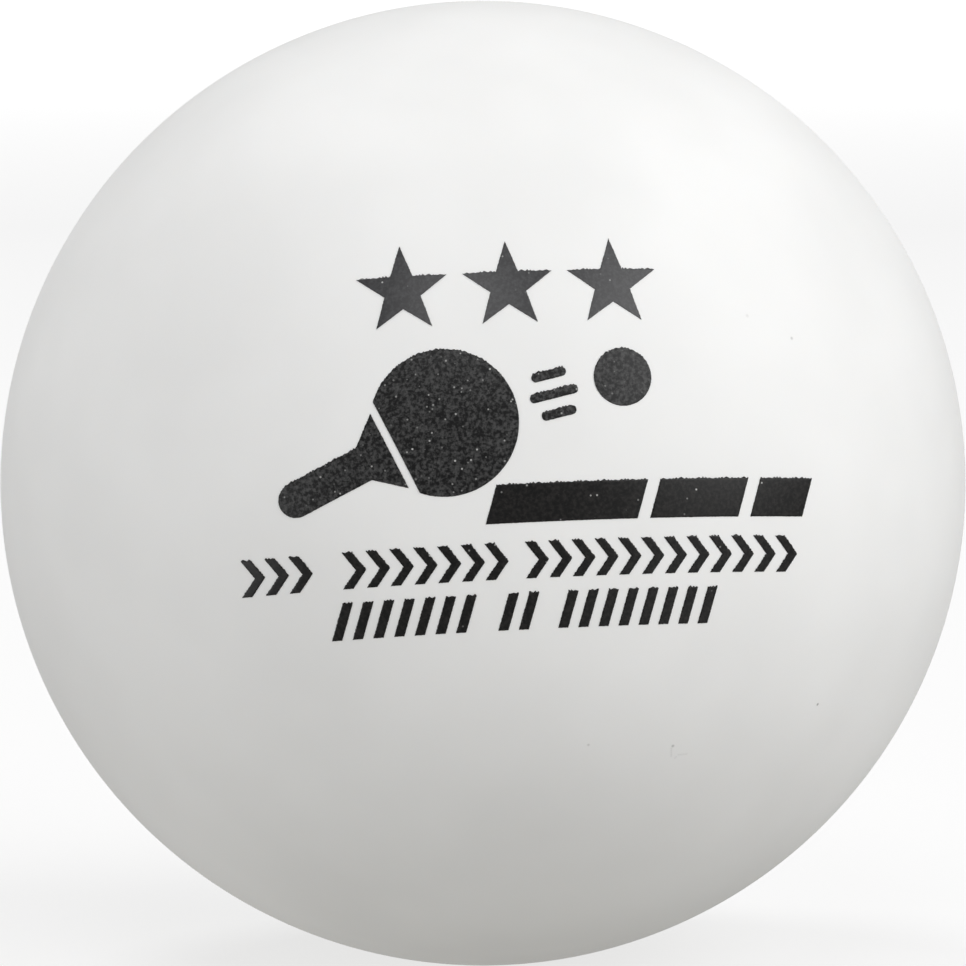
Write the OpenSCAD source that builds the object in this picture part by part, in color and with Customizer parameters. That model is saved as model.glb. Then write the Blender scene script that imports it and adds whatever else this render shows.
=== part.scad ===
// Table tennis ball: a seamless hollow shell with a generic print on one side.
// Millimetres, +Z up. The origin is the centre of the ball, and the print faces -Y.
// Each printed mark is a film of ink of even thickness that lies on the shell.
// Places in the print are [right, up] from its middle, in the plane that touches the ball there.

/* [Ball] */
// Outside diameter of the ball
ball_d = 40.2; // [40:0.05:40.6]
// Thickness of the shell's wall
wall_t = 0.5; // [0.3:0.01:0.6]

/* [Print] */
// Thickness of the ink film
ink_t = 0.02; // [0.02:0.005:0.05]
// Angle from the ball's equator up to the middle of the print, in degrees
print_lift = 10; // [0:1:30]
// Turn of the print about its own middle, anticlockwise, in degrees
print_turn = 2.4; // [-10:0.1:10]

/* [Stars] */
// Radius of a star's points
star_r = 1.85; // [1:0.01:2]
// Share of that radius at a star's inner corners
star_inner_share = 0.4; // [0.35:0.01:0.45]
// Distance between the middles of two stars
star_pitch = 4.13; // [3.9:0.01:4.5]
// Middle of the middle star
star_at = [0.11, 6.07]; // [-1:0.01:7]
// Turn of the row of stars about the middle one, anticlockwise, in degrees
star_turn = -0.5; // [-3:0.1:3]

/* [Bat] */
// Middle of the bat's blade
bat_at = [-2.7, 0.75]; // [-4:0.05:2]
// Slope of the bat, from its handle up to its blade, in degrees
bat_slope = 24; // [15:1:32]
// Radius of the blade
blade_r = 2.9; // [2.4:0.05:3]
// Share of the blade's radius from its middle to the straight end of the rubber
rubber_share = 0.72; // [0.6:0.01:0.8]
// Bare line between the rubber and the throat
throat_gap = 0.3; // [0.2:0.05:0.4]
// Length of the throat's taper past the blade's circle
throat_l = 0.6; // [0.3:0.05:1.5]
// Length of the handle past the blade's circle
handle_l = 4.2; // [3:0.1:4.6]
// Width of the handle
handle_w = 1.4; // [1:0.05:1.8]

/* [Flying ball] */
// Slope of the ball's flight away from the blade, in degrees
flight_slope = 12; // [5:1:20]
// Distance from the middle of the blade to the middle of the ball's disc
disc_reach = 7.25; // [6.5:0.05:7.6]
// Radius of the ball's disc
disc_r = 1.15; // [0.8:0.05:1.3]
// Length of the middle streak behind the ball
streak_l = 1.95; // [1.2:0.05:2.2]
// Share of that length that the outer streaks have
outer_streak = 0.72; // [0.5:0.01:1]
// Thickness of a streak
streak_w = 0.36; // [0.2:0.02:0.5]
// Distance between two streaks
streak_pitch = 0.78; // [0.6:0.02:1]
// Bare space between the blade and the middle streak
streak_gap = 0.55; // [0.3:0.05:0.8]

/* [Stripes] */
// Lengths of the three slanted stripes, from left to right
stripe_lengths = [6.0, 3.6, 2.2]; // [1:0.1:7]
// Left foot of the first stripe
stripe_at = [-1.3, -3.3]; // [-4:0.05:0]
// Bare space between two stripes
stripe_gap = 0.5; // [0.3:0.05:0.8]
// Height of the stripes
stripe_h = 1.5; // [1:0.05:1.6]

/* [Rows] */
// Height of the marks in the two lower rows
row_h = 1.4; // [1:0.05:1.5]
// Height of the foot of the row of chevrons
chevron_y = -5.45; // [-5.6:0.05:-5.3]
// Distance between two chevrons
chevron_pitch = 0.92; // [0.85:0.01:1]
// Thickness of a chevron's legs, along the row
chevron_w = 0.4; // [0.25:0.01:0.45]
// Height of the foot of the row of strokes
stroke_y = -7.4; // [-7.8:0.05:-7.3]
// Distance between two strokes
stroke_pitch = 0.8; // [0.7:0.01:1]
// Thickness of a stroke, along the row
stroke_w = 0.4; // [0.25:0.01:0.5]
// Lean of the stripes and strokes from upright, in degrees
lean = 18; // [0:1:25]

/* [Hidden] */

// Circles and spheres are true rounds.
$fn = 128;

ball_r = ball_d / 2;
ink_colour = "#2b2b2d";

star_inner_r = star_inner_share * star_r;

// Distances from the middle of the blade towards the handle.
rubber_end = rubber_share * blade_r;
throat_start = rubber_end + throat_gap;
throat_end = blade_r + throat_l;
handle_end = blade_r + handle_l;
throat_w = 2 * sqrt(blade_r ^ 2 - throat_start ^ 2);

// Each group of row marks: where it starts and how many marks it has, from left to right.
chevron_groups = [[-10.8, 3], [-6.9, 7], [0.2, 12]];
stroke_groups = [[-7.4, 7], [-0.95, 2], [1.4, 8]];

// How far to the right the top of a leaning edge of height h lies.
function lean_over(h) = h * tan(lean);

// Distance from the first stripe's foot to the foot of stripe i.
function stripe_start(i) = i == 0 ? 0 : stripe_start(i - 1) + stripe_lengths[i - 1] + stripe_gap;

// Inks the ball inside the outline given as children.
module printed() {
    color(ink_colour)
    intersection() {
        difference() {
            sphere(r = ball_r + ink_t);
            sphere(r = ball_r);
        }
        rotate([90 - print_lift, 0, 0])
        rotate([0, 0, print_turn])
        linear_extrude(height = ball_r + 1)
        children();
    }
}

// A five-pointed star with one point up.
module star_outline() {
    polygon([
        for (i = [0:9])
            let (r = i % 2 == 0 ? star_r : star_inner_r, t = 90 + 36 * i)
            [r * cos(t), r * sin(t)]
    ]);
}

// A straight bar from x = 0 to x = l with round ends inside that length.
module round_bar(l, w) {
    translate([w / 2, -w / 2]) square([l - w, w]);
    for (x = [w / 2, l - w / 2]) translate([x, 0]) circle(d = w);
}

// A bar of length l and height h whose ends lean to the right.
module slanted_bar(l, h) {
    polygon([[0, 0], [l, 0], [l + lean_over(h), h], [lean_over(h), h]]);
}

// One chevron that points to the right.
module chevron_outline() {
    tip = chevron_pitch - chevron_w;
    polygon([
        [0, 0], [chevron_w, 0], [chevron_w + tip, row_h / 2],
        [chevron_w, row_h], [0, row_h], [tip, row_h / 2]
    ]);
}

// Repeats its children along a row. A group is [start, count].
module row(group, foot, pitch) {
    for (i = [0:group[1] - 1]) translate([group[0] + i * pitch, foot]) children();
}

// The star that lies place steps to the right of the middle one.
module star(place) {
    printed()
    translate(star_at) rotate(star_turn)
    translate([place * star_pitch, 0])
    star_outline();
}

// The streak that lies place steps above the middle one, centred on it along the flight.
module streak(place) {
    l = place == 0 ? streak_l : streak_l * outer_streak;
    printed()
    translate(bat_at) rotate(flight_slope)
    translate([blade_r + streak_gap + (streak_l - l) / 2, place * streak_pitch])
    round_bar(l, streak_w);
}

// Stripe i, counted from the left.
module stripe(i) {
    printed()
    translate(stripe_at + [stripe_start(i), 0])
    slanted_bar(stripe_lengths[i], stripe_h);
}

// A group of the row of chevrons.
module chevrons(group) {
    printed() row(group, chevron_y, chevron_pitch) chevron_outline();
}

// A group of the row of slanted strokes.
module strokes(group) {
    printed() row(group, stroke_y, stroke_pitch) slanted_bar(stroke_w, row_h);
}

// The ball itself: one closed wall around the sealed air.
module shell() {
    color("white")
    difference() {
        sphere(r = ball_r);
        sphere(r = ball_r - wall_t);
    }
}

// The blade's disc as far as the rubber covers it.
module bat_rubber() {
    printed()
    translate(bat_at) rotate(bat_slope)
    difference() {
        circle(r = blade_r);
        translate([-2 * blade_r, -blade_r]) square([2 * blade_r - rubber_end, 2 * blade_r]);
    }
}

// The throat narrows from the blade to the handle, and the handle's end is round.
module bat_handle() {
    printed()
    translate(bat_at) rotate(bat_slope + 180) {
        polygon([
            [throat_start, -throat_w / 2], [throat_end, -handle_w / 2],
            [throat_end, handle_w / 2], [throat_start, throat_w / 2]
        ]);
        translate([throat_start, 0]) round_bar(handle_end - throat_start, handle_w);
    }
}

// The ball in flight.
module ball_disc() {
    printed()
    translate(bat_at) rotate(flight_slope)
    translate([disc_reach, 0]) circle(r = disc_r);
}

module star_left() { star(-1); }
module star_middle() { star(0); }
module star_right() { star(1); }

module streak_upper() { streak(1); }
module streak_middle() { streak(0); }
module streak_lower() { streak(-1); }

module stripe_long() { stripe(0); }
module stripe_middle() { stripe(1); }
module stripe_short() { stripe(2); }

module chevrons_left() { chevrons(chevron_groups[0]); }
module chevrons_middle() { chevrons(chevron_groups[1]); }
module chevrons_right() { chevrons(chevron_groups[2]); }

module strokes_left() { strokes(stroke_groups[0]); }
module strokes_middle() { strokes(stroke_groups[1]); }
module strokes_right() { strokes(stroke_groups[2]); }

shell();
star_left();
star_middle();
star_right();
bat_rubber();
bat_handle();
ball_disc();
streak_upper();
streak_middle();
streak_lower();
stripe_long();
stripe_middle();
stripe_short();
chevrons_left();
chevrons_middle();
chevrons_right();
strokes_left();
strokes_middle();
strokes_right();
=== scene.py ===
"""A table tennis ball: a seamless white moulded shell that carries marks of pad-printed ink.

Lengths are in metres in the frame of the CAD model: +Z up, the origin at the ball's centre, the
print on the side of -Y. The ball stands in a white studio sweep between four soft boxes and a
reflector.
"""

import abc
import enum
import logging
import math
from collections.abc import Callable, Iterable, Mapping
from dataclasses import dataclass
from typing import Any

import bmesh
import bpy
import numpy as np
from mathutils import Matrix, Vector

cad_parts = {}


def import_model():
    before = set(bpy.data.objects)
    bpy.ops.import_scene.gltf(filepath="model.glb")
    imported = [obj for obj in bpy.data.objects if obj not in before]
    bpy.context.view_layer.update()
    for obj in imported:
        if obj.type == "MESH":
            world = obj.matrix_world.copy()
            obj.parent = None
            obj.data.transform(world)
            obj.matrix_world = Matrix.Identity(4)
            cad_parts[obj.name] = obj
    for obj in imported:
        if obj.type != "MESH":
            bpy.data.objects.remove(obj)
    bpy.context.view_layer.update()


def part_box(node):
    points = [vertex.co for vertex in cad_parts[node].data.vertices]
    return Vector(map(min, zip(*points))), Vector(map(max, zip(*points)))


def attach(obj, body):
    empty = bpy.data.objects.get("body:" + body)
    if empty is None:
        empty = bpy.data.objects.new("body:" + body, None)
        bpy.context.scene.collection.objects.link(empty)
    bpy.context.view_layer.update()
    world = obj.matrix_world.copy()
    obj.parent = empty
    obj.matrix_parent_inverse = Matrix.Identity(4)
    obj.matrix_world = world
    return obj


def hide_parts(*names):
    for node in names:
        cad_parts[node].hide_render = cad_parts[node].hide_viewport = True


LOG = logging.getLogger("table_tennis_ball")

MM = 0.001
# Nearly all values of a noise texture lie between these two.
NOISE_LOW, NOISE_HIGH = 0.3, 0.7
Plane = tuple[np.ndarray, np.ndarray]
Inputs = Mapping[str | int, Any]


class Part(enum.Enum):
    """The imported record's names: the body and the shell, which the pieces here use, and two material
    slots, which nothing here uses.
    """

    BODY = "root"
    SHELL = "shell"
    PLASTIC_SLOT = "shell_plastic"
    INK_SLOT = "print_ink"


# ---------------------------------------------------------------------------------- materials


def linear(hex_code: str, alpha: float = 1.0) -> tuple[float, float, float, float]:
    """Turns an sRGB hex colour into the linear values that a shader takes.

    Args:
        hex_code: six hex digits, such as "f2f1ee".
        alpha: the fourth value, which is passed on as it is.

    Returns:
        Linear red, green and blue, and alpha.
    """
    parts = [int(hex_code[i : i + 2], 16) / 255 for i in (0, 2, 4)]
    red, green, blue = (c / 12.92 if c <= 0.04045 else ((c + 0.055) / 1.055) ** 2.4 for c in parts)
    return red, green, blue, alpha


def add_node(
    tree: bpy.types.NodeTree, kind: str, inputs: Inputs | None = None, **settings: Any
) -> bpy.types.Node:
    """Adds a node to a tree, with its settings, values and links.

    Args:
        tree: the material's or the world's nodes.
        kind: the node's type name, such as "ShaderNodeTexNoise".
        inputs: for each input, by name or number, a value or the output that feeds it.
        **settings: properties of the node itself.

    Returns:
        The new node.
    """
    node = tree.nodes.new(kind)
    for name, value in settings.items():
        setattr(node, name, value)
    for name, value in (inputs or {}).items():
        if isinstance(value, bpy.types.NodeSocket):
            tree.links.new(value, node.inputs[name])
        else:
            node.inputs[name].default_value = value
    return node


def new_material(name: str) -> tuple[bpy.types.Material, bpy.types.NodeTree, bpy.types.NodeSocket]:
    """Makes a material with no nodes but the object's own coordinates.

    Args:
        name: the material's name.

    Returns:
        The material, its nodes, and the output that gives a point's place in metres.
    """
    material = bpy.data.materials.new(name)
    material.use_nodes = True
    tree = material.node_tree
    tree.nodes.clear()
    place = add_node(tree, "ShaderNodeTexCoord").outputs["Object"]
    return material, tree, place


@dataclass(frozen=True)
class Speck:
    """A small dark spot on the shell.

    Attributes:
        right: its distance to the right of the print's middle, in the plane of the print.
        up: its distance above the print's middle.
        radius: the spot's radius.
        strength: how much of its colour it takes from dirt, from 0 to 1.
    """

    right: float
    up: float
    radius: float
    strength: float


@dataclass(frozen=True)
class TumbledPlastic:
    """White ABS, moulded and then tumbled with grit until it is matte.

    It gives the eye an even, soft white with no mirror highlight. Light enters the thin wall and
    spreads a little, so the edge between light and shade is soft.

    Attributes:
        name: the material's name.
        white: colour of the plastic where the wall is thick.
        cloud: its colour where the wall is thin.
        dirt: colour of the specks.
        ior: index of refraction of ABS.
        roughness: roughness in the hollows of the grain, and on its tops.
        cloud_size: size of a cloud.
        grain_size: size of the grain.
        grain_height: height of the grain.
        fade: share of a speck's radius inside which it is darkest.
        scatter: share of the light that enters the wall and comes out again.
        scatter_depth: how far that light spreads.
    """

    name: str = "tumbled_white_abs"
    white: str = "f4f4f3"
    cloud: str = "efefee"
    dirt: str = "6b6a68"
    ior: float = 1.53
    roughness: tuple[float, float] = (0.52, 0.62)
    cloud_size: float = 8 * MM
    grain_size: float = 0.14 * MM
    grain_height: float = 0.0012 * MM
    fade: float = 0.3
    scatter: float = 0.12
    scatter_depth: float = 0.35 * MM

    def build(self, specks: Iterable[tuple[Speck, Vector]]) -> bpy.types.Material:
        """Makes the material.

        Args:
            specks: the spots on the shell, each with its place.

        Returns:
            The material.
        """
        material, tree, place = new_material(self.name)
        # The wall's thickness varies a little, which shows as faint clouds.
        clouds = add_node(tree, "ShaderNodeTexNoise", {"Vector": place, "Scale": 1 / self.cloud_size})
        thin = {"Value": clouds.outputs["Fac"], "From Min": 0.35, "From Max": 0.65}
        thin = add_node(tree, "ShaderNodeMapRange", thin).outputs["Result"]
        shades = {"Factor": thin, 6: linear(self.white), 7: linear(self.cloud)}
        clean = add_node(tree, "ShaderNodeMix", shades, data_type="RGBA").outputs[2]
        dirty = {"Factor": self.dirt_mask(tree, place, specks), 6: clean, 7: linear(self.dirt)}
        # Tumbling grit is finer than this grain, which is as fine as can be seen.
        grain = add_node(tree, "ShaderNodeTexNoise", {"Vector": place, "Scale": 1 / self.grain_size})
        grain = grain.outputs["Fac"]
        bump = add_node(tree, "ShaderNodeBump", {"Height": grain, "Distance": self.grain_height})
        low, high = self.roughness
        rough = {"Value": grain, "From Min": NOISE_LOW, "From Max": NOISE_HIGH}
        rough = add_node(tree, "ShaderNodeMapRange", {**rough, "To Min": low, "To Max": high})
        finish = {
            "Base Color": add_node(tree, "ShaderNodeMix", dirty, data_type="RGBA").outputs[2],
            "Roughness": rough.outputs["Result"],
            "IOR": self.ior,
            "Normal": bump.outputs["Normal"],
            "Subsurface Weight": self.scatter,
            "Subsurface Radius": (1.0, 0.9, 0.8),
            "Subsurface Scale": self.scatter_depth,
        }
        shader = add_node(tree, "ShaderNodeBsdfPrincipled", finish)
        add_node(tree, "ShaderNodeOutputMaterial", {"Surface": shader.outputs["BSDF"]})
        return material

    def dirt_mask(
        self, tree: bpy.types.NodeTree, place: bpy.types.NodeSocket, specks: Iterable[tuple[Speck, Vector]]
    ) -> bpy.types.NodeSocket:
        """Adds a value that is 0 on clean plastic and rises inside each speck.

        Args:
            tree: the material's nodes.
            place: the output that gives a point's place.
            specks: the spots, each with its place.

        Returns:
            The output with the strongest of the specks' values.
        """
        total: bpy.types.NodeSocket | float = 0.0
        for speck, centre in specks:
            away = add_node(tree, "ShaderNodeVectorMath", {0: place, 1: centre}, operation="DISTANCE")
            # A speck is clear at its radius, and grows darker inwards as far as its core.
            core = {"From Min": speck.radius, "From Max": self.fade * speck.radius}
            core = {"Value": away.outputs["Value"], **core, "To Max": speck.strength}
            inside = add_node(tree, "ShaderNodeMapRange", core)
            both = {0: total, 1: inside.outputs["Result"]}
            total = add_node(tree, "ShaderNodeMath", both, operation="MAXIMUM").outputs["Value"]
        return total


@dataclass(frozen=True)
class PadInk:
    """Black two-part ink, laid down by a silicone pad.

    It gives the eye a satin black. A pad lays fine marks down dense and black, but its film breaks
    up in wide marks, which turn out uneven, black with grey patches. Round pinholes in the film let
    the white plastic through.

    Attributes:
        name: the material's name.
        thick: colour where the film is thick.
        thin: colour where it is thin.
        ior: index of refraction of the binder, which sets how grey its sheen makes the black.
        roughness: roughness where the film is thick, and where it is thin.
        pinhole_pitch: distance between two pinholes.
        pinhole: colour of the plastic that shows in a pinhole.
        pinhole_radius: radius of a pinhole.
        grain_size: size of the thin patches.
        grain_range: values of the noise up to which the film is thick, and from which it is thin.
        grain_height: how much lower the film is in the thin patches.
    """

    name: str
    thick: str
    thin: str
    ior: float
    roughness: tuple[float, float]
    pinhole_pitch: float
    pinhole: str = "c4c4c2"
    pinhole_radius: float = 0.05 * MM
    grain_size: float = 0.15 * MM
    grain_range: tuple[float, float] = (0.42, 0.64)
    grain_height: float = 0.004 * MM

    def build(self) -> bpy.types.Material:
        """Makes the material.

        Returns:
            The material.
        """
        material, tree, place = new_material(self.name)
        grain = {"Vector": place, "Scale": 1 / self.grain_size, "Detail": 3.0, "Roughness": 0.65}
        grain = add_node(tree, "ShaderNodeTexNoise", grain).outputs["Fac"]
        thick_to, thin_from = self.grain_range
        thinness = {"Value": grain, "From Min": thick_to, "From Max": thin_from}
        thinness = add_node(tree, "ShaderNodeMapRange", thinness).outputs["Result"]
        shades = {"Factor": thinness, 6: linear(self.thick), 7: linear(self.thin)}
        film = add_node(tree, "ShaderNodeMix", shades, data_type="RGBA").outputs[2]
        # Each cell of the pattern holds one pinhole, at a random place and open by a random amount.
        cells = add_node(tree, "ShaderNodeTexVoronoi", {"Vector": place, "Scale": 1 / self.pinhole_pitch})
        rim = self.pinhole_radius / self.pinhole_pitch
        inside = {"Value": cells.outputs["Distance"], "From Min": rim, "From Max": 0.4 * rim}
        inside = add_node(tree, "ShaderNodeMapRange", inside).outputs["Result"]
        opening = {"Value": cells.outputs["Color"], "From Min": 0.3, "From Max": 0.85, "To Min": 0.12}
        opening = add_node(tree, "ShaderNodeMapRange", opening).outputs["Result"]
        hole = add_node(tree, "ShaderNodeMath", {0: inside, 1: opening}, operation="MULTIPLY")
        holed = {"Factor": hole.outputs["Value"], 6: film, 7: linear(self.pinhole)}
        bump = add_node(tree, "ShaderNodeBump", {"Height": grain, "Distance": self.grain_height})
        low, high = self.roughness
        rough = {"Value": grain, "From Min": NOISE_LOW, "From Max": NOISE_HIGH}
        rough = add_node(tree, "ShaderNodeMapRange", {**rough, "To Min": low, "To Max": high})
        finish = {
            "Base Color": add_node(tree, "ShaderNodeMix", holed, data_type="RGBA").outputs[2],
            "Roughness": rough.outputs["Result"],
            "IOR": self.ior,
            "Normal": bump.outputs["Normal"],
        }
        shader = add_node(tree, "ShaderNodeBsdfPrincipled", finish)
        add_node(tree, "ShaderNodeOutputMaterial", {"Surface": shader.outputs["BSDF"]})
        return material


class Film(enum.Enum):
    """How the ink turned out: a lighter grey in the stars, which is a painted sheen, broken up in the wide
    marks, dense in the fine ones.
    """

    # The stars' black ink is painted a lighter grey, which stands for the sheen of the lamps on it: a
    # painted sheen.
    SHEEN_PAINTED = PadInk("even_black_pad_ink", "262628", "3b3b3d", 1.52, (0.31, 0.37), 0.50 * MM)
    BROKEN = PadInk("broken_black_pad_ink", "020203", "444444", 1.38, (0.34, 0.46), 0.33 * MM)
    DENSE = PadInk("dense_black_pad_ink", "040404", "201e1d", 1.38, (0.30, 0.38), 0.60 * MM)


@dataclass(frozen=True)
class SweepPaper:
    """White background paper that glows by itself, which keeps it white all round.

    The glow is weaker near the ball, a painted shade round it, which lets the ball's soft shadow show
    there.

    Attributes:
        name: the material's name.
        colour: colour of the paper, apart from its glow.
        roughness: roughness in the hollows between its fibres, and on them.
        fibre_size: size of the lumps of its fibres.
        glow: radiance that the paper gives off by itself near the ball, weaker there as a painted shade,
            and far away.
        painted_shade_reach: distance from the ball up to which the glow is weak, a painted shade, and from
            which it is full.
    """

    name: str = "white_background_paper"
    colour: str = "a2a2a2"
    roughness: tuple[float, float] = (0.88, 0.94)
    fibre_size: float = 1.5 * MM
    glow: tuple[float, float] = (0.63, 0.95)
    painted_shade_reach: tuple[float, float] = (0.6, 1.5)

    def build(self) -> bpy.types.Material:
        """Makes the material.

        Returns:
            The material.
        """
        material, tree, place = new_material(self.name)
        fibres = add_node(tree, "ShaderNodeTexNoise", {"Vector": place, "Scale": 1 / self.fibre_size})
        low, high = self.roughness
        rough = {"Value": fibres.outputs["Fac"], "From Min": NOISE_LOW, "From Max": NOISE_HIGH}
        rough = add_node(tree, "ShaderNodeMapRange", {**rough, "To Min": low, "To Max": high})
        # The paper glows by itself, and the glow is weaker near the ball: a painted shade round it.
        away = add_node(tree, "ShaderNodeVectorMath", {0: place}, operation="LENGTH")
        near, far = self.painted_shade_reach
        weak, full = self.glow
        glow = {"Value": away.outputs["Value"], "From Min": near, "From Max": far}
        glow = add_node(tree, "ShaderNodeMapRange", {**glow, "To Min": weak, "To Max": full})
        finish = {
            "Base Color": linear(self.colour),
            "Roughness": rough.outputs["Result"],
            "Specular IOR Level": 0.0,
            "Emission Color": linear("ffffff"),
            "Emission Strength": glow.outputs["Result"],
        }
        shader = add_node(tree, "ShaderNodeBsdfPrincipled", finish)
        add_node(tree, "ShaderNodeOutputMaterial", {"Surface": shader.outputs["BSDF"]})
        return material


# ------------------------------------------------------------------------------------- meshes


def grid_faces(rows: int, columns: int, start: int = 0) -> np.ndarray:
    """Numbers the quads of a grid of points.

    Point (i, j) has the number start + i * (columns + 1) + j. Each quad runs from (i, j) along i,
    then along j, so it faces up where the first parameter points right and the second points up.

    Args:
        rows: cells along the first parameter.
        columns: cells along the second.
        start: number of the grid's first point.

    Returns:
        One row of four point numbers for each quad.
    """
    i, j = np.meshgrid(np.arange(rows), np.arange(columns), indexing="ij")
    corner = start + i * (columns + 1) + j
    quads = np.stack([corner, corner + columns + 1, corner + columns + 2, corner + 1], axis=-1)
    return quads.reshape(-1, 4)


def new_object(
    name: str, points: np.ndarray, faces: np.ndarray, material: bpy.types.Material, merge: float = 1e-8
) -> bpy.types.Object:
    """Makes an object from points and quads, and merges the points that coincide.

    Args:
        name: the object's name.
        points: one row of x, y, z for each point.
        faces: one row of four point numbers for each quad.
        material: what the object is made of.
        merge: distance below which two points are one.

    Returns:
        The new object, shaded smooth.
    """
    mesh = bpy.data.meshes.new(name)
    mesh.from_pydata(points.reshape(-1, 3), [], faces)
    work = bmesh.new()
    work.from_mesh(mesh)
    bmesh.ops.remove_doubles(work, verts=work.verts, dist=merge)
    work.to_mesh(mesh)
    work.free()
    mesh.polygons.foreach_set("use_smooth", np.ones(len(mesh.polygons), bool))
    mesh.materials.append(material)
    made = bpy.data.objects.new(name, mesh)
    bpy.context.scene.collection.objects.link(made)
    LOG.info("%s: %d faces", name, len(mesh.polygons))
    return made


def show(piece: bpy.types.Object, node: str) -> None:
    """Lets a piece stand for a CAD node, and ride on the ball's body.

    Args:
        piece: the new object.
        node: the CAD node that it stands for.
    """
    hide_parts(node)
    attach(piece, Part.BODY.value)


def size_error(piece: bpy.types.Object, node: str) -> float:
    """Finds the largest distance between the box of a piece and the box of its CAD node.

    Args:
        piece: the piece.
        node: name of the node.

    Returns:
        The distance.
    """
    points = np.empty(len(piece.data.vertices) * 3)
    piece.data.vertices.foreach_get("co", points)
    points = points.reshape(-1, 3)
    low, high = (np.array(corner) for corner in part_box(node))
    return float(max(abs(points.min(0) - low).max(), abs(points.max(0) - high).max()))


@dataclass(frozen=True)
class Shell:
    """The ball itself: one closed wall round the sealed air.

    Attributes:
        radius: outer radius.
        wall: thickness of the wall.
        meridians: cells round the ball.
        parallels: cells from pole to pole.
    """

    radius: float
    wall: float = 0.5 * MM
    meridians: int = 256
    parallels: int = 128

    def sphere(self, radius: float) -> np.ndarray:
        """Works out the points of a sphere, as a function of two angles.

        With t down from the pole and p round the axis, a point is at radius times
        (sin t cos p, sin t sin p, cos t).

        Args:
            radius: the sphere's radius.

        Returns:
            One row of x, y, z for each point.
        """
        t = np.linspace(0, np.pi, self.parallels + 1)[:, None]
        p = np.linspace(0, 2 * np.pi, self.meridians + 1)[None, :]
        around = [np.sin(t) * np.cos(p), np.sin(t) * np.sin(p), np.cos(t) + 0 * p]
        return radius * np.stack(around, axis=-1).reshape(-1, 3)

    def build(self, material: bpy.types.Material) -> bpy.types.Object:
        """Makes the outer and the inner surface as one object, each facing out of the wall.

        Args:
            material: the shell's plastic.

        Returns:
            The shell.
        """
        outer, inner = self.sphere(self.radius), self.sphere(self.radius - self.wall)
        outside = grid_faces(self.parallels, self.meridians)
        inside = grid_faces(self.parallels, self.meridians, len(outer))[:, ::-1]
        piece = new_object(
            "ball_shell", np.concatenate([outer, inner]), np.concatenate([outside, inside]), material
        )
        show(piece, Part.SHELL.value)
        return piece


# -------------------------------------------------------------------------------------- print


@dataclass(frozen=True)
class Mark(abc.ABC):
    """One printed mark, as a patch of two parameters that both run from 0 to 1.

    Attributes:
        at: place of the mark's own origin in the plane of the print, right and up.
        turn: how far the mark is turned anticlockwise, in degrees.
        polar: whether the first parameter runs from the middle out, and the second all round.
    """

    at: tuple[float, float]
    turn: float = 0.0

    polar = False

    @property
    @abc.abstractmethod
    def size(self) -> tuple[float, float]:
        """Rough lengths of the patch along its two parameters, which set its cells."""

    @abc.abstractmethod
    def patch(self, u: np.ndarray, v: np.ndarray) -> Plane:
        """Works out points of the mark in its own frame.

        Args:
            u: first parameter of each point.
            v: second parameter.

        Returns:
            Their places right and up.
        """

    def placed(self, u: np.ndarray, v: np.ndarray) -> Plane:
        """Turns points of the mark, and then moves them to its place in the plane of the print.

        Args:
            u: first parameter of each point.
            v: second parameter.

        Returns:
            Their places right and up.
        """
        x, y = self.patch(u, v)
        c, s = math.cos(math.radians(self.turn)), math.sin(math.radians(self.turn))
        return self.at[0] + c * x - s * y, self.at[1] + s * x + c * y


@dataclass(frozen=True)
class Star(Mark):
    """A five-pointed star with one point up.

    Attributes:
        radius: distance of its points from its middle.
        inner_share: share of that distance at its inner corners.
    """

    radius: float = 1.85 * MM
    inner_share: float = 0.4

    polar = True

    @property
    def size(self) -> tuple[float, float]:
        """From the middle to a point, and round the outline."""
        return self.radius, 7.6 * self.radius

    def patch(self, u: np.ndarray, v: np.ndarray) -> Plane:
        """Share u of the way from the middle to the outline, at the angle v turns from the top.

        The outline is straight between a point, at angle 0, and an inner corner, at 36 degrees.
        Such a line is at R r sin 36 / (R sin a + r sin (36 - a)) from the middle at the angle a.

        Args:
            u: first parameter of each point.
            v: second parameter.

        Returns:
            Their places right and up.
        """
        corner = math.radians(36)
        inner = self.inner_share * self.radius
        angle = 2 * np.pi * v
        near = np.abs((angle + corner) % (2 * corner) - corner)
        reach = self.radius * inner * math.sin(corner)
        reach = reach / (self.radius * np.sin(near) + inner * np.sin(corner - near))
        return -u * reach * np.sin(angle), u * reach * np.cos(angle)


@dataclass(frozen=True)
class Slant(Mark):
    """A bar that stands on its foot and whose ends lean to the right.

    Attributes:
        length: length of the foot.
        height: height of the bar.
        lean: how far its ends lean from upright, in degrees.
    """

    length: float = 0.4 * MM
    height: float = 1.4 * MM
    lean: float = 18.0

    @property
    def size(self) -> tuple[float, float]:
        """Along the foot, and up."""
        return self.length, self.height

    def patch(self, u: np.ndarray, v: np.ndarray) -> Plane:
        """Share u along the foot and share v up, moved right by v times the lean."""
        return u * self.length + v * self.height * math.tan(math.radians(self.lean)), v * self.height


@dataclass(frozen=True)
class Chevron(Mark):
    """An arrowhead that points to the right, with legs of even thickness along the row.

    Attributes:
        thickness: thickness of its legs along the row.
        reach: how far its tip stands to the right of its feet.
        height: height of the mark.
    """

    thickness: float = 0.4 * MM
    reach: float = 0.52 * MM
    height: float = 1.4 * MM

    @property
    def size(self) -> tuple[float, float]:
        """Across a leg, and along both legs."""
        return self.thickness, 1.3 * self.height

    def patch(self, u: np.ndarray, v: np.ndarray) -> Plane:
        """Share u across the leg and share v up, moved right by the reach at half height."""
        return u * self.thickness + self.reach * (1 - np.abs(2 * v - 1)), v * self.height


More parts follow.
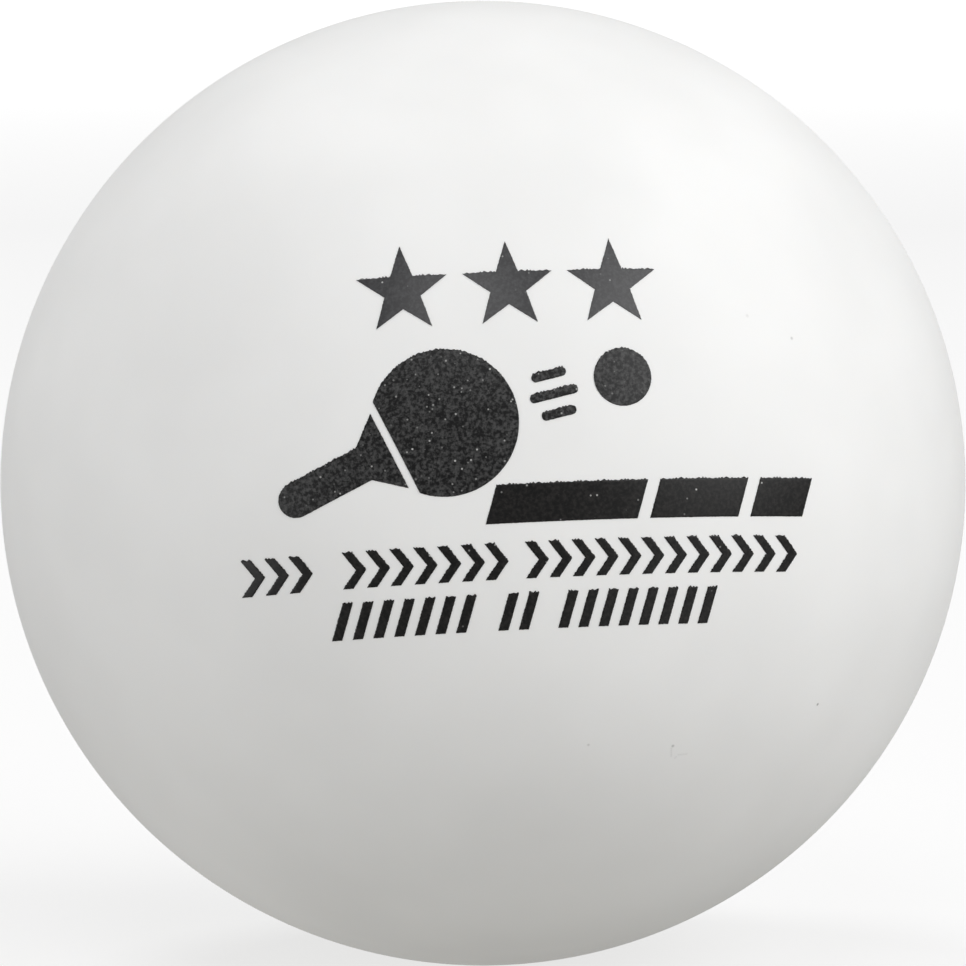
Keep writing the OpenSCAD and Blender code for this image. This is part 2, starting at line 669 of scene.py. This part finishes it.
@dataclass(frozen=True)
class Spindle(Mark):
    """A mark that is symmetric about its own axis, along which its half width changes.

    Attributes:
        start: where it starts along the axis.
        end: where it ends.
        half_width: its half width at each distance along the axis.
    """

    start: float = 0.0
    end: float = 1.0 * MM
    half_width: Callable[[np.ndarray], np.ndarray] = np.zeros_like

    @property
    def size(self) -> tuple[float, float]:
        """Along the axis, and across it at the widest place."""
        along = np.linspace(self.start, self.end, 50)
        return 1.3 * (self.end - self.start), 2 * float(self.half_width(along).max())

    def patch(self, u: np.ndarray, v: np.ndarray) -> Plane:
        """Along the axis by a cosine, which is slow near both ends, and share v across."""
        along = self.start + (self.end - self.start) * (1 - np.cos(np.pi * u)) / 2
        return along, (2 * v - 1) * self.half_width(along)


def half_chord(radius: float, middle: float = 0.0) -> Callable[[np.ndarray], np.ndarray]:
    """The half width of a disc at each distance along its diameter, and 0 past its ends."""
    return lambda x: np.sqrt(np.maximum(radius**2 - (x - middle) ** 2, 0))


def rounded_bar(length: float, width: float) -> Callable[[np.ndarray], np.ndarray]:
    """The half width of a bar with round ends: a disc's before and after its straight stretch."""
    radius = width / 2
    return lambda x: half_chord(radius)(x - np.clip(x, radius, length - radius))


@dataclass(frozen=True)
class Print:
    """The print: its place on the ball, and the sizes of its marks.

    Places are right and up from the middle of the print, in the plane that touches the ball there.

    Attributes:
        radius: the ball's radius.
        film: thickness of the ink.
        border: share of that thickness at a mark's border.
        sunk: share of it by which the film's underside lies inside the shell.
        lift: angle from the ball's equator up to the middle of the print, in degrees.
        turn: how far the print is turned anticlockwise, in degrees.
        cell: size of a mesh cell.
        tooth_pitch: distance between two teeth of a torn edge.
        tooth_height: height of a tooth.
        waver: how far the other edges waver.
        star_pitch: distance between the middles of two stars.
        star_at: middle of the middle star.
        star_turn: how far the row of stars is turned anticlockwise, in degrees.
        bat_at: middle of the bat's blade.
        bat_slope: slope of the bat, from its handle up to its blade, in degrees.
        blade: radius of the blade.
        rubber_share: share of it from the blade's middle to the straight end of the rubber.
        throat_gap: bare line between the rubber and the throat.
        throat_length: length of the throat's taper past the blade's circle.
        handle_length: length of the handle past the blade's circle.
        handle_width: width of the handle.
        flight_slope: slope of the ball's flight away from the blade, in degrees.
        disc_reach: distance from the middle of the blade to the middle of the ball's disc.
        disc: radius of that disc.
        streak: length of the middle streak behind the ball.
        outer_streak: share of that length that the outer streaks have.
        streak_width: thickness of a streak.
        streak_pitch: distance between two streaks.
        streak_gap: bare space between the blade and the middle streak.
        stripe_lengths: lengths of the slanted stripes, from left to right.
        stripe_at: left foot of the first stripe.
        stripe_gap: bare space between two stripes.
        stripe_height: height of the stripes.
        chevron_foot: height of the foot of the row of chevrons.
        chevron_pitch: distance between two chevrons.
        chevron_rows: where each group of chevrons starts, and how many it has.
        stroke_foot: height of the foot of the row of strokes.
        stroke_pitch: distance between two strokes.
        stroke_rows: where each group of strokes starts, and how many it has.
    """

    radius: float
    film: float = 0.02 * MM
    border: float = 0.6
    sunk: float = 0.2
    lift: float = 10.0
    turn: float = 2.4
    cell: float = 0.04 * MM
    tooth_pitch: float = 0.17 * MM
    tooth_height: float = 0.07 * MM
    waver: float = 0.012 * MM

    star_pitch: float = 4.13 * MM
    star_at: tuple[float, float] = (0.11 * MM, 6.07 * MM)
    star_turn: float = -0.5

    bat_at: tuple[float, float] = (-2.7 * MM, 0.75 * MM)
    bat_slope: float = 24.0
    blade: float = 2.9 * MM
    rubber_share: float = 0.72
    throat_gap: float = 0.3 * MM
    throat_length: float = 0.6 * MM
    handle_length: float = 4.2 * MM
    handle_width: float = 1.4 * MM

    flight_slope: float = 12.0
    disc_reach: float = 7.25 * MM
    disc: float = 1.15 * MM
    streak: float = 1.95 * MM
    outer_streak: float = 0.72
    streak_width: float = 0.36 * MM
    streak_pitch: float = 0.78 * MM
    streak_gap: float = 0.55 * MM

    stripe_lengths: tuple[float, ...] = (6.0 * MM, 3.6 * MM, 2.2 * MM)
    stripe_at: tuple[float, float] = (-1.3 * MM, -3.3 * MM)
    stripe_gap: float = 0.5 * MM
    stripe_height: float = 1.5 * MM

    chevron_foot: float = -5.45 * MM
    chevron_pitch: float = 0.92 * MM
    chevron_rows: tuple[tuple[float, int], ...] = ((-10.8 * MM, 3), (-6.9 * MM, 7), (0.2 * MM, 12))
    stroke_foot: float = -7.4 * MM
    stroke_pitch: float = 0.8 * MM
    stroke_rows: tuple[tuple[float, int], ...] = ((-7.4 * MM, 7), (-0.95 * MM, 2), (1.4 * MM, 8))

    def on_ball(self, x: np.ndarray, y: np.ndarray, height: np.ndarray | float) -> np.ndarray:
        """Carries points of the print's plane straight back onto the ball.

        A point's distance out of the plane is the root of (radius + height) squared, less x squared
        and y squared. The plane is then turned about its middle, and tilted up from facing -Y.

        Args:
            x: distance to the right of the print's middle.
            y: distance above it.
            height: height above the shell.

        Returns:
            One row of x, y, z for each point, in the frame of the ball.
        """
        out = np.sqrt((self.radius + height) ** 2 - x**2 - y**2)
        turn, lift = math.radians(self.turn), math.radians(self.lift)
        right = math.cos(turn) * x - math.sin(turn) * y
        up = math.sin(turn) * x + math.cos(turn) * y
        depth = up * math.sin(lift) - out * math.cos(lift)
        rise = up * math.cos(lift) + out * math.sin(lift)
        return np.stack([right, depth, rise], axis=-1).reshape(-1, 3)

    def torn(self, x: np.ndarray, y: np.ndarray) -> Plane:
        """Moves the points of a closed outline to give it the torn edge of a pad print.

        The pad peels off upwards, so the ink ends in teeth wherever the outline faces up. A tooth's
        height falls and rises evenly along the outline, from tooth to tooth by other amounts, and is
        scaled by how much the outline faces up there. The rest wavers slightly.

        Args:
            x: places of the outline's points to the right, anticlockwise.
            y: their places up.

        Returns:
            The new places.
        """
        ahead = np.hypot(np.roll(x, -1) - x, np.roll(y, -1) - y)
        behind = np.roll(ahead, 1)
        right, up = np.roll(y, -1) - np.roll(y, 1), np.roll(x, 1) - np.roll(x, -1)
        size = np.maximum(np.hypot(right, up), 1e-12)
        # The place of a mark sets where its first tooth starts, so no two marks tear alike.
        step = (np.cumsum(behind) + 40 * (x[0] + y[0])) / self.tooth_pitch
        # The teeth grow wider and narrower every 3.7 teeth, and higher and lower every 5.3.
        step = step + 0.3 * np.sin(2 * np.pi * step / 3.7)
        tooth = np.abs(2 * (step % 1) - 1) * (0.7 + 0.3 * np.sin(2 * np.pi * step / 5.3))
        # Where the outline stands still, several points stay one.
        moves = (ahead > 1e-9) & (behind > 1e-9)
        waver = np.where(moves, self.waver * (tooth - 0.5), 0) / size
        rise = np.where(moves, self.tooth_height * tooth * np.maximum(up / size, 0), 0)
        return x + waver * right, y + waver * up + rise

    def film_of(self, mark: Mark, start: int) -> tuple[np.ndarray, np.ndarray]:
        """Makes a closed film of ink on the ball from a mark's patch.

        The top is the patch at the film's height, lower along its torn border, and the bottom is the
        same patch just inside the shell. Quads along the border join the two.

        Args:
            mark: the mark.
            start: number of the film's first point in its object.

        Returns:
            The film's points and its quads.
        """
        rows, columns = (max(6, 2 * round(length / self.cell / 2)) for length in mark.size)
        if mark.polar:
            columns = 10 * round(columns / 10)
        u, v = np.meshgrid(np.linspace(0, 1, rows + 1), np.linspace(0, 1, columns + 1), indexing="ij")
        x, y = (values.ravel() for values in mark.placed(u, v))
        count = len(x)

        number = np.arange(count).reshape(rows + 1, columns + 1)
        edge = number[-1]
        if not mark.polar:
            edge = np.concatenate([number[:, 0], number[-1, 1:], number[-2::-1, -1], number[0, -2::-1]])
        here, there = edge[:-1], edge[1:]
        x[here], y[here] = self.torn(x[here], y[here])
        x[edge[-1]], y[edge[-1]] = x[edge[0]], y[edge[0]]
        height = np.full(count, self.film)
        height[edge] *= self.border
        top, bottom = self.on_ball(x, y, height), self.on_ball(x, y, -self.sunk * self.film)

        sides = np.stack([here + count, there + count, there, here], axis=-1) + start
        quads = [grid_faces(rows, columns, start), grid_faces(rows, columns, start + count)[:, ::-1], sides]
        return np.concatenate([top, bottom]), np.concatenate(quads)

    def stars(self) -> dict[str, list[Mark]]:
        """Lays out the three stars of the grade.

        Returns:
            The mark of each star's node.
        """
        c, s = math.cos(math.radians(self.star_turn)), math.sin(math.radians(self.star_turn))
        marks: dict[str, list[Mark]] = {}
        for name, place in (("star_left", -1), ("star_middle", 0), ("star_right", 1)):
            along = place * self.star_pitch
            at = self.star_at[0] + c * along, self.star_at[1] + s * along
            marks[name] = [Star(at, self.star_turn)]
        return marks

    def bat(self) -> dict[str, list[Mark]]:
        """Lays out the bat: rubber with a straight end, and a throat that narrows to the handle.

        Returns:
            The mark of each of its two nodes.
        """
        rubber_end = self.rubber_share * self.blade
        throat_start = rubber_end + self.throat_gap
        throat_end = self.blade + self.throat_length
        handle_end = self.blade + self.handle_length
        throat_half = math.sqrt(self.blade**2 - throat_start**2)
        half = self.handle_width / 2

        def handle(x: np.ndarray) -> np.ndarray:
            """Runs straight from the throat to the handle's width, and then round at the end.

            Args:
                x: distances along the bat's axis.

            Returns:
                The half width at each.
            """
            taper = np.interp(x, [throat_start, throat_end], [throat_half, half])
            tip = half_chord(half, handle_end - half)(np.maximum(x, handle_end - half))
            return np.where(x < throat_end, taper, tip)

        blade = Spindle(self.bat_at, self.bat_slope, -rubber_end, self.blade, half_chord(self.blade))
        grip = Spindle(self.bat_at, self.bat_slope + 180, throat_start, handle_end, handle)
        return {"bat_rubber": [blade], "bat_handle": [grip]}

    def along_flight(self, forward: float, aside: float) -> tuple[float, float]:
        """A place in the print, from distances along the ball's flight and to the left of it."""
        c, s = math.cos(math.radians(self.flight_slope)), math.sin(math.radians(self.flight_slope))
        return self.bat_at[0] + c * forward - s * aside, self.bat_at[1] + s * forward + c * aside

    def flying_ball(self) -> dict[str, list[Mark]]:
        """Lays out the ball in flight, and the three streaks behind it.

        Returns:
            The mark of each node.
        """
        disc = half_chord(self.disc)
        at = self.along_flight(self.disc_reach, 0)
        marks: dict[str, list[Mark]] = {
            "ball_disc": [Spindle(at, self.flight_slope, -self.disc, self.disc, disc)]
        }
        for name, place in (("streak_upper", 1), ("streak_middle", 0), ("streak_lower", -1)):
            length = self.streak * (self.outer_streak if place else 1)
            at = self.along_flight(
                self.blade + self.streak_gap + (self.streak - length) / 2, place * self.streak_pitch
            )
            bar = rounded_bar(length, self.streak_width)
            marks[name] = [Spindle(at, self.flight_slope, 0, length, bar)]
        return marks

    def stripes(self) -> dict[str, list[Mark]]:
        """Lays out the three bold slanted stripes, from the longest to the shortest.

        Returns:
            The mark of each stripe's node.
        """
        marks: dict[str, list[Mark]] = {}
        x, y = self.stripe_at
        for name, length in zip(("stripe_long", "stripe_middle", "stripe_short"), self.stripe_lengths):
            marks[name] = [Slant((x, y), 0, length, self.stripe_height)]
            x += length + self.stripe_gap
        return marks

    def rows(self) -> dict[str, list[Mark]]:
        """Lays out the row of chevrons and, under it, the row of strokes, in three groups each.

        Returns:
            The marks of each group's node.
        """
        marks: dict[str, list[Mark]] = {}
        for side, (x, count) in zip(("left", "middle", "right"), self.chevron_rows):
            marks[f"chevrons_{side}"] = [
                Chevron((x + i * self.chevron_pitch, self.chevron_foot)) for i in range(count)
            ]
        for side, (x, count) in zip(("left", "middle", "right"), self.stroke_rows):
            marks[f"strokes_{side}"] = [
                Slant((x + i * self.stroke_pitch, self.stroke_foot)) for i in range(count)
            ]
        return marks

    def build(self) -> None:
        """Makes one object of ink for each of the print's CAD nodes."""
        inked = (
            # The stars take the ink with the painted sheen.
            (Film.SHEEN_PAINTED, self.stars()),
            (Film.BROKEN, {**self.bat(), **self.flying_ball()}),
            (Film.DENSE, {**self.stripes(), **self.rows()}),
        )
        for film, nodes in inked:
            ink = film.value.build()
            for node, marks in nodes.items():
                self.build_node(node, marks, ink)

    def build_node(self, node: str, marks: Iterable[Mark], ink: bpy.types.Material) -> None:
        """Makes one object of all the marks of a CAD node.

        Args:
            node: name of the node.
            marks: the marks.
            ink: their material.
        """
        points, faces, start = [], [], 0
        for mark in marks:
            more, quads = self.film_of(mark, start)
            points.append(more)
            faces.append(quads)
            start += len(more)
        piece = new_object(f"ink_{node}", np.concatenate(points), np.concatenate(faces), ink)
        show(piece, node)
        LOG.info("%s: within %.3f mm of its CAD box", piece.name, size_error(piece, node) / MM)

    def placed_specks(self, specks: list[Speck]) -> list[tuple[Speck, Vector]]:
        """Gives each speck its place on the ball.

        Args:
            specks: the specks, placed in the plane of the print.

        Returns:
            Each speck with its place.
        """
        right = np.array([speck.right for speck in specks])
        up = np.array([speck.up for speck in specks])
        return [(speck, Vector(place)) for speck, place in zip(specks, self.on_ball(right, up, 0.0))]


# ------------------------------------------------------------------------------------- studio


@dataclass(frozen=True)
class Sweep:
    """Background paper: a flat round floor that curves up into a wall.

    Attributes:
        height: height of the floor.
        flat: radius of the flat floor.
        rings: radii of the rings of points inside it.
        bend: radius of the curve between floor and wall.
        wall: height of the straight wall above the curve.
        slices: cells round the sweep.
        arc_cells: cells up the curve.
    """

    height: float
    flat: float = 1.6
    rings: tuple[float, ...] = (0, 0.3, 0.8)
    bend: float = 0.4
    wall: float = 1.0
    slices: int = 96
    arc_cells: int = 16

    def build(self, material: bpy.types.Material) -> None:
        """Turns the profile round the vertical axis: floor, quarter circle, wall.

        The paper is seen and takes shadows, but sends no light to the ball: the ball's light is
        what the soft boxes and the even light of the room give.

        Args:
            material: the paper.
        """
        quarter = np.linspace(0, np.pi / 2, self.arc_cells + 1)
        curve = self.flat + self.bend * np.sin(quarter), self.bend * (1 - np.cos(quarter))
        out = np.concatenate([self.rings, curve[0], [self.flat + self.bend]])
        up = np.concatenate([np.zeros(len(self.rings)), curve[1], [self.bend + self.wall]])
        around = np.linspace(0, 2 * np.pi, self.slices + 1)[None, :]
        out, up = out[:, None], up[:, None]
        place = [out * np.cos(around), out * np.sin(around), self.height + up + 0 * around]
        points = np.stack(place, axis=-1).reshape(-1, 3)
        paper = new_object("studio_sweep", points, grid_faces(len(out) - 1, self.slices), material)
        paper.visible_diffuse = False
        paper.visible_glossy = False
        paper.visible_transmission = False
        paper.visible_shadow = False


@dataclass(frozen=True)
class SoftBox:
    """A round soft light, placed as it is seen from the ball.

    Attributes:
        name: the light's name.
        right: angle from the camera to the right, in degrees.
        up: angle above the camera's line of sight, in degrees.
        spread: half of the angle that the light fills, in degrees.
        luminance: radiance of its face.
        distance: distance from the ball.
    """

    name: str
    right: float
    up: float
    spread: float
    luminance: float
    distance: float = 1.2

    def build(self, camera: bpy.types.Object) -> None:
        """Places the light and turns it to the ball.

        Args:
            camera: the camera, from whose line of sight the angles are counted.
        """
        right, up = math.radians(self.right), math.radians(self.up)
        seen = Vector((math.sin(right) * math.cos(up), math.sin(up), math.cos(right) * math.cos(up)))
        way = camera.rotation_euler.to_matrix() @ seen
        radius = self.distance * math.tan(math.radians(self.spread))
        lamp = bpy.data.lights.new(self.name, "AREA")
        lamp.shape = "DISK"
        lamp.size = 2 * radius
        # A flat disc that shines evenly sends out pi times its area times its radiance.
        lamp.energy = math.pi * (math.pi * radius**2) * self.luminance
        lit = bpy.data.objects.new(self.name, lamp)
        lit.location = way * self.distance
        lit.rotation_euler = way.to_track_quat("Z", "Y").to_euler()
        lit.visible_camera = False
        bpy.context.scene.collection.objects.link(lit)


@dataclass(frozen=True)
class Studio:
    """The camera, the lights and the colour handling.

    Attributes:
        turn: angle of the camera round the ball, in degrees, where 0 looks along +Y.
        rise: angle of the camera above the horizon, in degrees.
        distance: distance from the camera to the ball's centre.
        lens: focal length of the lens, in millimetres.
        margin: how many times the ball's outline fits in the picture's width.
        room: radiance of the even light all round.
        room_white: colour of that light.
        floor_white: its colour where it comes straight up from below.
        boxes: the soft lights.
    """

    turn: float = -3.6
    rise: float = 5.0
    distance: float = 0.3
    lens: float = 100.0
    margin: float = 1.001
    room: float = 0.386
    room_white: str = "ffffff"
    floor_white: str = "fffcf1"
    boxes: tuple[SoftBox, ...] = (
        SoftBox("key_softbox", 58, 28, 29, 2.37),
        SoftBox("fill_softbox", -71, -2, 24, 1.59),
        SoftBox("front_top_softbox", -7, 43, 12, 2.85),
        SoftBox("rear_top_softbox", -131, 65, 12, 5.0),
        SoftBox("low_reflector", 50, -30, 25, 0.38),
    )

    def camera(self, radius: float) -> bpy.types.Object:
        """Makes the camera, whose picture the ball just fills.

        Args:
            radius: the ball's radius.

        Returns:
            The camera.
        """
        turn, rise = math.radians(self.turn), math.radians(self.rise)
        way = Vector((math.sin(turn) * math.cos(rise), -math.cos(turn) * math.cos(rise), math.sin(rise)))
        data = bpy.data.cameras.new("camera")
        data.lens = self.lens
        outline = math.tan(math.asin(radius / self.distance))
        data.sensor_width = 2 * self.lens * outline * self.margin
        data.clip_start = 0.01
        made = bpy.data.objects.new("camera", data)
        made.location = way * self.distance
        made.rotation_euler = way.to_track_quat("Z", "Y").to_euler()
        bpy.context.scene.collection.objects.link(made)
        bpy.context.scene.camera = made
        return made

    def build(self, radius: float) -> None:
        """Makes the camera, the room's light and the soft boxes.

        Args:
            radius: the ball's radius.
        """
        seen_from = self.camera(radius)
        for box in self.boxes:
            box.build(seen_from)
        world = bpy.data.worlds.new("room_light")
        world.use_nodes = True
        tree = world.node_tree
        tree.nodes.clear()
        # What comes from below is a little warmer.
        way = add_node(tree, "ShaderNodeTexCoord").outputs["Generated"]
        height = add_node(tree, "ShaderNodeSeparateXYZ", {"Vector": way}).outputs["Z"]
        below = {"Value": height, "From Min": -0.3, "From Max": -1.0}
        below = add_node(tree, "ShaderNodeMapRange", below).outputs["Result"]
        shades = {"Factor": below, 6: linear(self.room_white), 7: linear(self.floor_white)}
        colour = add_node(tree, "ShaderNodeMix", shades, data_type="RGBA").outputs[2]
        light = add_node(tree, "ShaderNodeBackground", {"Color": colour, "Strength": self.room})
        add_node(tree, "ShaderNodeOutputWorld", {"Surface": light.outputs[0]})
        bpy.context.scene.world = world
        # The plain transform keeps the paper pure white.
        bpy.context.scene.view_settings.view_transform = "Standard"


# --------------------------------------------------------------------------------------- main


def stroke(
    start: tuple[float, float],
    end: tuple[float, float],
    count: int,
    strength: float,
    radius: float = 0.065 * MM,
) -> list[Speck]:
    """A faint line on the shell, as specks at even distances that run into each other.

    Args:
        start: place of the first speck, right and up from the print's middle, in millimetres.
        end: place of the last.
        count: how many specks there are.
        strength: how much of its colour each takes from dirt.
        radius: radius of each.

    Returns:
        The specks.
    """
    places = np.linspace(start, end, count) * MM
    return [Speck(right, up, radius, strength) for right, up in places.tolist()]


# Specks of dirt moulded into the plastic, and a scuff shaped like an L.
SPECKS = [
    Speck(11.5 * MM, 3.82 * MM, 0.09 * MM, 0.35),
    Speck(9.68 * MM, 4.7 * MM, 0.10 * MM, 0.14),
    Speck(12.15 * MM, -10.55 * MM, 0.08 * MM, 0.7),
    Speck(2.55 * MM, -11.9 * MM, 0.08 * MM, 0.25),
    Speck(5.98 * MM, -12.06 * MM, 0.09 * MM, 0.4),
    *stroke((5.92, -12.16), (5.92, -12.44), 5, 0.13),
    *stroke((6.08, -12.52), (6.12, -12.48), 2, 0.1),
    *stroke((6.22, -12.40), (6.56, -12.38), 6, 0.1),
]


def main() -> None:
    """Builds the ball, its print and the studio."""
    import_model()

    low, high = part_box(Part.SHELL.value)
    radius = (high.z - low.z) / 2
    ink = Print(radius)
    Studio().build(radius)
    Sweep(low.z).build(SweepPaper().build())
    Shell(radius).build(TumbledPlastic().build(ink.placed_specks(SPECKS)))
    ink.build()


if __name__ == "__main__":
    logging.basicConfig(level=logging.INFO, format="%(message)s")
    main()
